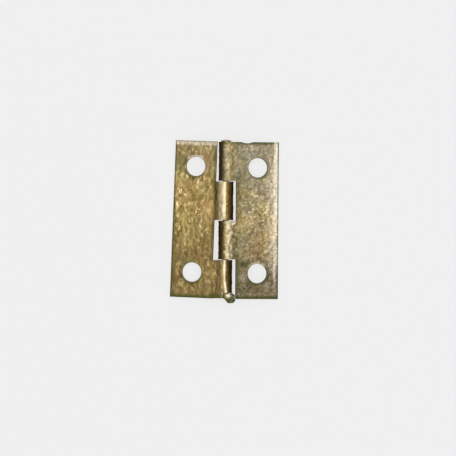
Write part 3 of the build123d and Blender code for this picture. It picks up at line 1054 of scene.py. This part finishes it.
def plating(name, colours, kind, *, grain, crackle, sparse, clouds, ends):
    """Brass plated steel, barrel plated and tumbled: soft patches of gold, pale flecks that partly paint
    glints on the raised grain, and dark hollows that partly paint shade.
    """
    material = bpy.data.materials.new(name)
    material.use_nodes = True
    tree = material.node_tree
    tree.nodes.clear()

    def paint(key):
        """A colour of the property group."""
        return (*getattr(colours, key), 1.0)

    def drawn_out(width):
        """Steps per millimetre of a pattern of a width, which is longer along the pin by the grain."""
        return 1 / width, 1 / (width * grain), 1 / width

    blank = add(tree, "ShaderNodeAttribute", attribute_name="blank").node.outputs["Vector"]
    mottle = {"Scale": 1.0, "Detail": 2.0, "Roughness": 0.5}
    # soft patches a millimetre across
    broad = add(tree, "ShaderNodeVectorMath", {0: blank, 1: drawn_out(PATCH_WIDTH)}, operation="MULTIPLY")
    patch = add(tree, "ShaderNodeTexNoise", {"Vector": broad, **mottle, "Distortion": 0.6})
    ramp_node = add(tree, "ShaderNodeValToRGB", {0: patch}).node
    ramp = ramp_node.color_ramp
    ramp.elements[0].position, ramp.elements[0].color = DEEP, paint(kind + "_deep")
    ramp.elements[1].position, ramp.elements[1].color = GOLD, paint(kind + "_gold")
    ramp.elements.new(DULL).color = paint(kind + "_dull")
    # flecks under half a millimetre, and crackled cells bent so that no edge runs straight
    narrow = add(tree, "ShaderNodeVectorMath", {0: blank, 1: drawn_out(FLECK_WIDTH)}, operation="MULTIPLY")
    fleck = add(tree, "ShaderNodeTexNoise", {"Vector": narrow, **mottle, "Distortion": 0.4})
    sway = add(tree, "ShaderNodeTexNoise", {"Vector": blank, "Scale": 1 / SWAY_WIDTH, "Detail": 1.0})
    swayed = add(tree, "ShaderNodeVectorMath", {0: sway.node.outputs["Color"], 1: (1.0, 1.0, 1.0), 2: blank},
                 operation="MULTIPLY_ADD")
    edge = add(tree, "ShaderNodeTexVoronoi", {"Vector": swayed, "Scale": 1 / CELL_WIDTH},
               feature="DISTANCE_TO_EDGE")
    cell = add(tree, "ShaderNodeMapRange", {0: edge, 1: 0.0, 2: CELL_LEVEL, 3: CELL_LOW, 4: CELL_HIGH})
    height = add(tree, "ShaderNodeMix", {0: crackle, 2: fleck, 3: cell}, data_type="FLOAT")
    hollow = add(tree, "ShaderNodeMapRange",
                 {0: height, 1: HOLLOW_START - sparse, 2: HOLLOW_FULL - sparse, 3: 0.0, 4: HOLLOW_COVER})
    bright = add(tree, "ShaderNodeMapRange",
                 {0: height, 1: FLECK_START + sparse, 2: FLECK_FULL + sparse, 3: 0.0, 4: FLECK_COVER})
    layers = [(hollow, paint(kind + "_deep")), (bright, paint(kind + "_fleck"))]
    for number, cloud in enumerate(clouds):
        drift = add(tree, "ShaderNodeTexNoise",
                    {"Vector": blank, "W": CLOUD_APART * number, "Scale": 1 / cloud.width, "Detail": 2.0},
                    noise_dimensions="4D")
        share = add(tree, "ShaderNodeMapRange",
                    {0: drift, 1: CLOUD_START, 2: CLOUD_FULL, 3: 0.0, 4: cloud.strength})
        layers.append((share, (*linear(cloud.tint), 1.0)))
    # greyer towards the top of the hinge, and darker towards the bottom as painted shade
    spot = add(tree, "ShaderNodeTexCoord").node.outputs["Object"]
    along = add(tree, "ShaderNodeSeparateXYZ", {0: spot}).node.outputs["Y"]
    for end_tint in ends:
        share = add(tree, "ShaderNodeMapRange",
                    {0: along, 1: end_tint.start * MM, 2: end_tint.end * MM, 3: 0.0, 4: end_tint.strength},
                    interpolation_type="SMOOTHSTEP")
        layers.append((share, (*linear(end_tint.tint), 1.0)))
    rough = add(tree, "ShaderNodeMapRange",
                {0: height, 1: NOISE_LOW, 2: NOISE_HIGH, 3: HOLLOW_ROUGH, 4: FLECK_ROUGH})
    for sheen in SHEENS:
        worn = add(tree, "ShaderNodeAttribute", attribute_name=sheen.wear).node.outputs["Fac"]
        whole = add(tree, "ShaderNodeMapRange",
                    {0: height, 1: BROKEN_BELOW, 2: WHOLE_ABOVE, 3: 1 - sheen.broken, 4: 1.0})
        share = add(tree, "ShaderNodeMath", {0: worn, 1: whole}, operation="MULTIPLY")
        layers.append((share, paint(sheen.wear)))
        rough = add(tree, "ShaderNodeMix", {0: share, 2: rough, 3: sheen.roughness}, data_type="FLOAT")
    colour = ramp_node.outputs["Color"]
    for share, tint in layers:
        colour = add(tree, "ShaderNodeMix", {0: share, 6: colour, 7: tint}, data_type="RGBA")
    bump = add(tree, "ShaderNodeBump",
               {"Strength": BUMP_STRENGTH, "Distance": BUMP_DEPTH * MM, "Height": height})
    shader = add(tree, "ShaderNodeBsdfPrincipled",
                 {"Base Color": colour, "Metallic": 1.0, "Roughness": rough, "Specular Tint": GRAZING_TINT,
                  "Normal": bump})
    add(tree, "ShaderNodeOutputMaterial", {"Surface": shader})
    return material


# Operators


def in_mm(group, names):
    """The named sizes of a property group, in millimetres."""
    return {name: getattr(group, name) / MM for name in names}


KNUCKLE_COUNT = 4
# how far each leaf's dimples are drawn out along the pin
DIMPLE_GRAIN = {RIGHT: 1.0, LEFT: 1.6}


def leaf_maker(context, side):
    """Worn blank and bend inputs of one leaf."""
    sizes, pin = context.scene.box_hinge_leaf, context.scene.box_hinge_pin
    leaf = in_mm(sizes, ("sheet", "length", "reach", "hole", "hole_reach", "hole_pitch", "hole_roll"))
    more = in_mm(sizes, (
        "edge_roll", "right_slit", "left_slit", "knuckle_gap", "right_joggle", "left_joggle", "joggle_end",
        "curl_cut_back", "tab_flat", "tab_cut_back", "nick_reach", "nick_width", "nick_depth",
    ))
    wire_r, play = pin.wire / 2 / MM, pin.clearance / MM
    bore_r = {RIGHT: wire_r + play, LEFT: wire_r}
    knuckle_r = {key: r + leaf["sheet"] for key, r in bore_r.items()}
    mid_r = bore_r[side] + leaf["sheet"] / 2
    root = knuckle_r[-side] + (more["right_slit"] if side == RIGHT else more["left_slit"])
    skew = 0.0 if side == RIGHT else sizes.left_skew
    half = leaf["length"] / 2
    pitch, gap = leaf["length"] / KNUCKLE_COUNT, more["knuckle_gap"] / 2
    rise = more["right_joggle"] if side == RIGHT else more["left_joggle"]
    # the strips start to bend where the root comes nearest to the pin
    bend = (root - (pitch - gap) * sin(skew)) / cos(skew)
    run = bend - more["joggle_end"]
    joggle_angle = 2 * atan(rise / run)
    joggle_r = run / (2 * sin(joggle_angle))
    curl_start = run - 2 * joggle_r * joggle_angle
    curl_end = curl_start - mid_r * sizes.curl
    strips = [Strip(gap - pitch, -gap, curl_end)]
    if side == RIGHT:
        strips.append(Strip(pitch + gap, half, curl_end))
    else:
        last_curl = half - more["curl_cut_back"]
        tab_end = curl_start + more["joggle_end"] - more["tab_flat"]
        strips.append(Strip(pitch + gap, last_curl, curl_end))
        strips.append(Strip(last_curl, half * cos(skew) - root * sin(skew), tab_end))
    leaf.update(
        roll=more["edge_roll"],
        root=root,
        bend=bend,
        skew=skew,
        strips=strips,
        curl_start=curl_start,
        curl_r=mid_r,
        knuckles=KNUCKLES[side],
        laps=LAPS[side],
        lap=LAP[side],
        nick=(more["nick_reach"], more["nick_width"], more["nick_depth"]) if side == RIGHT else None,
        tab_v=None if side == RIGHT else half - more["tab_cut_back"],
    )
    front = knuckle_r[side] - rise - leaf["sheet"]
    corner = leaf["reach"] * cos(skew) + half * sin(skew)
    slope = asin(PIN_AXIS_HEIGHT / hypot(corner, front)) + atan(front / corner)
    inputs = {
        "Bend Start": bend * MM,
        "Joggle Radius": joggle_r * MM,
        "Joggle Angle": joggle_angle,
        "Flat Length": sizes.joggle_end,
        "Curl Radius": mid_r * MM,
        "Curl Angle": 2 * pi,
        "Start Height": (mid_r - rise) * MM,
        "Relief Depth": sizes.relief,
        "Relief Width": (sizes.dimple, sizes.dimple * DIMPLE_GRAIN[side], sizes.dimple),
        "Seed": float(sizes.seed + side),
        "Outward": (side * cos(slope), 0.0, -sin(slope)),
        "Along": (0.0, float(side), 0.0),
        "Upward": (side * sin(slope), 0.0, cos(slope)),
        "Origin": (0.0, 0.0, PIN_AXIS_HEIGHT * MM),
    }
    blank = LeafBlank(leaf)
    wear_and_painted_light(blank, side)
    blank.swell_knuckles()
    return blank, inputs


class BOXHINGE_OT_right_leaf(bpy.types.Operator):
    """Curl the right leaf, with the first and third knuckles, from its blank"""
    bl_idname = "box_hinge.right_leaf"
    bl_label = "Right leaf"

    def execute(self, context):
        blank, inputs = leaf_maker(context, RIGHT)
        inputs["Plating"] = plating(
            "Barrel plated brass on sheet steel, greyed", context.scene.box_hinge_colours, "right",
            grain=0.8, crackle=0.15, sparse=0.0,
            clouds=(Cloud("#b8975c", 3.5, 0.5), Cloud("#968d76", 3.0, 0.5)),
            ends=(EndTint(2.5, 9, "#979184", 0.45), EndTint(-1, -10, "#4d443b", 0.68)),
        )
        bend_piece("right_leaf", blank, inputs, "fixed_leaf")
        return {"FINISHED"}


class BOXHINGE_OT_left_leaf(bpy.types.Operator):
    """Curl the left leaf, with the second and fourth knuckles, from its blank"""
    bl_idname = "box_hinge.left_leaf"
    bl_label = "Left leaf"

    def execute(self, context):
        blank, inputs = leaf_maker(context, LEFT)
        inputs["Plating"] = plating(
            "Barrel plated brass on sheet steel, golden", context.scene.box_hinge_colours, "left",
            grain=1.4, crackle=0.1, sparse=0.015,
            clouds=(Cloud("#a87f48", 3.0, 0.5), Cloud("#938a50", 3.5, 0.5)),
            ends=(EndTint(4, 10, "#8a8164", 0.45), EndTint(3.5, -6, "#786641", 0.58)),
        )
        bend_piece("left_leaf", blank, inputs, "swinging_leaf")
        return {"FINISHED"}


class BOXHINGE_OT_pin(bpy.types.Operator):
    """Bend the headed wire pin beside the lowest knuckle"""
    bl_idname = "box_hinge.pin"
    bl_label = "Pin"

    def execute(self, context):
        sizes, leaf = context.scene.box_hinge_pin, context.scene.box_hinge_leaf
        pin = in_mm(sizes, ("wire", "head", "head_rim", "head_rise", "bend_radius", "ball", "ball_neck",
                            "ball_aside"))
        foot = (leaf.curl_cut_back - leaf.length / 2) / MM
        pin["bend"] = sizes.bend
        pin["leaf_end"] = -leaf.curl_cut_back / MM
        pin["seat"] = (leaf.length / 2 + sizes.head_gap) / MM - foot
        inputs = {
            "Bend Start": 0.0,
            "Joggle Radius": 1.0,
            "Joggle Angle": 0.0,
            "Flat Length": 0.0,
            "Curl Radius": sizes.bend_radius,
            "Curl Angle": sizes.bend,
            "Start Height": 0.0,
            "Relief Depth": 0.0,
            "Relief Width": (leaf.dimple, leaf.dimple, leaf.dimple),
            "Seed": 1.0,
            "Outward": (0.0, 1.0, 0.0),
            "Along": (0.0, 0.0, -1.0),
            "Upward": (-1.0, 0.0, 0.0),
            "Origin": (0.0, foot * MM, PIN_AXIS_HEIGHT * MM),
        }
        inputs["Plating"] = plating(
            "Barrel plated brass on steel wire, peened", context.scene.box_hinge_colours, "pin",
            grain=1.0, crackle=0.0, sparse=0.0, clouds=(Cloud("#8d8a5c", 2.0, 0.6),), ends=(),
        )
        bend_piece("hinge_pin", pin_blank(pin), inputs, "swinging_leaf")
        return {"FINISHED"}


class Softbox(NamedTuple):
    """A round softbox that faces the hinge: its place and width in metres, and its brightness."""
    name: str
    place: tuple
    width: float
    radiance: float


SOFTBOXES = (
    Softbox("overhead_softbox", (0.02, 0.03, 0.8), 0.80, 1.03),
    Softbox("front_softbox", (0.10, -0.75, 0.45), 0.70, 0.7),
    Softbox("rear_softbox", (0.10, 0.75, 0.45), 0.70, 0.7),
)
FLOOR_HALF = 2.0
PAPER_GLOW = 0.71
ROOM_LOW, ROOM_HIGH = 0.10, 0.52
CAMERA_PLACE = (0.390 * MM, -1.207 * MM, 0.5)
CAMERA_ROLL = radians(0.4)
PLATE_HEIGHT = 1.2 * MM
SENSOR_WIDTH = 36


class BOXHINGE_OT_stage(bpy.types.Operator):
    """Lay the pale floor, and set the light and the camera straight above the hinge"""
    bl_idname = "box_hinge.stage"
    bl_label = "Stage"

    def execute(self, context):
        scene = context.scene
        scene.view_settings.view_transform = "Standard"
        self.lay_floor(scene)
        self.set_light(scene)
        lens = bpy.data.cameras.new("camera")
        lens.sensor_width = SENSOR_WIDTH
        lens.lens = SENSOR_WIDTH * (CAMERA_PLACE[2] - PLATE_HEIGHT) / (PHOTO_WIDTH / PHOTO_PIXELS_PER_MM * MM)
        camera = bpy.data.objects.new("camera", lens)
        camera.location = CAMERA_PLACE
        camera.rotation_euler = (0.0, 0.0, CAMERA_ROLL)
        scene.collection.objects.link(camera)
        scene.camera = camera
        return {"FINISHED"}

    def lay_floor(self, scene):
        """White paper that also shows pale in the metal, and keeps the hinge's shadow."""
        plane = bpy.data.meshes.new("floor")
        corners = [(x * FLOOR_HALF, y * FLOOR_HALF, 0) for x, y in ((-1, -1), (1, -1), (1, 1), (-1, 1))]
        plane.from_pydata(corners, [], [(0, 1, 2, 3)])
        floor = bpy.data.objects.new("floor", plane)
        scene.collection.objects.link(floor)
        paper = bpy.data.materials.new("Matt white paper")
        paper.use_nodes = True
        tree = paper.node_tree
        tree.nodes.clear()
        path = add(tree, "ShaderNodeLightPath").node
        seen = add(tree, "ShaderNodeMath",
                   {0: path.outputs["Is Camera Ray"], 1: path.outputs["Is Glossy Ray"]}, operation="ADD")
        shown = add(tree, "ShaderNodeMath", {0: seen, 1: path.outputs["Is Transmission Ray"]},
                    operation="ADD", use_clamp=True)
        level = add(tree, "ShaderNodeMath", {0: shown, 1: PAPER_GLOW}, operation="MULTIPLY")
        glow = add(tree, "ShaderNodeEmission", {"Color": (1.0, 1.0, 1.0, 1.0), "Strength": level})
        matt = add(tree, "ShaderNodeBsdfDiffuse", {"Color": (*scene.box_hinge_colours.floor, 1.0)})
        both = add(tree, "ShaderNodeAddShader", {0: glow, 1: matt})
        add(tree, "ShaderNodeOutputMaterial", {"Surface": both})
        plane.materials.append(paper)

    def set_light(self, scene):
        """A room that darkens from its ceiling to its walls, and soft round lights."""
        world = bpy.data.worlds.new("Dim room")
        scene.world = world
        world.use_nodes = True
        tree = world.node_tree
        tree.nodes.clear()
        facing = add(tree, "ShaderNodeTexCoord").node.outputs["Generated"]
        up = add(tree, "ShaderNodeSeparateXYZ", {0: facing}).node.outputs["Z"]
        level = add(tree, "ShaderNodeMapRange", {0: up, 1: 0.0, 2: 1.0, 3: ROOM_LOW, 4: ROOM_HIGH})
        room = add(tree, "ShaderNodeBackground", {"Color": (1.0, 1.0, 1.0, 1.0), "Strength": level})
        add(tree, "ShaderNodeOutputWorld", {"Surface": room})
        for box in SOFTBOXES:
            lamp = bpy.data.lights.new(box.name, "AREA")
            lamp.shape = "DISK"
            lamp.size = box.width
            lamp.energy = box.radiance * pi * pi * (box.width / 2) ** 2
            softbox = bpy.data.objects.new(box.name, lamp)
            softbox.location = box.place
            softbox.rotation_euler = Vector(box.place).to_track_quat("Z", "Y").to_euler()
            softbox.visible_camera = False
            scene.collection.objects.link(softbox)


class BOXHINGE_PT_panel(bpy.types.Panel):
    """Sizes and colours of the hinge, and the steps that make it"""
    bl_idname = "BOXHINGE_PT_panel"
    bl_label = "Box hinge"
    bl_space_type = "VIEW_3D"
    bl_region_type = "UI"
    bl_category = "Box hinge"

    def draw(self, context):
        for made in (BOXHINGE_OT_right_leaf, BOXHINGE_OT_left_leaf, BOXHINGE_OT_pin, BOXHINGE_OT_stage):
            self.layout.operator(made.bl_idname)
        scene = context.scene
        for group in (scene.box_hinge_leaf, scene.box_hinge_pin, scene.box_hinge_colours):
            column = self.layout.column()
            for name in group.__annotations__:
                column.prop(group, name)


CLASSES = (
    BoxHingeLeafSizes,
    BoxHingePinSizes,
    BoxHingeColours,
    BOXHINGE_OT_right_leaf,
    BOXHINGE_OT_left_leaf,
    BOXHINGE_OT_pin,
    BOXHINGE_OT_stage,
    BOXHINGE_PT_panel,
)


def register():
    for made in CLASSES:
        bpy.utils.register_class(made)
    bpy.types.Scene.box_hinge_leaf = PointerProperty(type=BoxHingeLeafSizes)
    bpy.types.Scene.box_hinge_pin = PointerProperty(type=BoxHingePinSizes)
    bpy.types.Scene.box_hinge_colours = PointerProperty(type=BoxHingeColours)


def unregister():
    del bpy.types.Scene.box_hinge_colours
    del bpy.types.Scene.box_hinge_pin
    del bpy.types.Scene.box_hinge_leaf
    for made in reversed(CLASSES):
        bpy.utils.unregister_class(made)


def main():
    register()
    bpy.ops.box_hinge.right_leaf()
    bpy.ops.box_hinge.left_leaf()
    bpy.ops.box_hinge.pin()
    bpy.ops.box_hinge.stage()


if __name__ == "__main__":
    main()
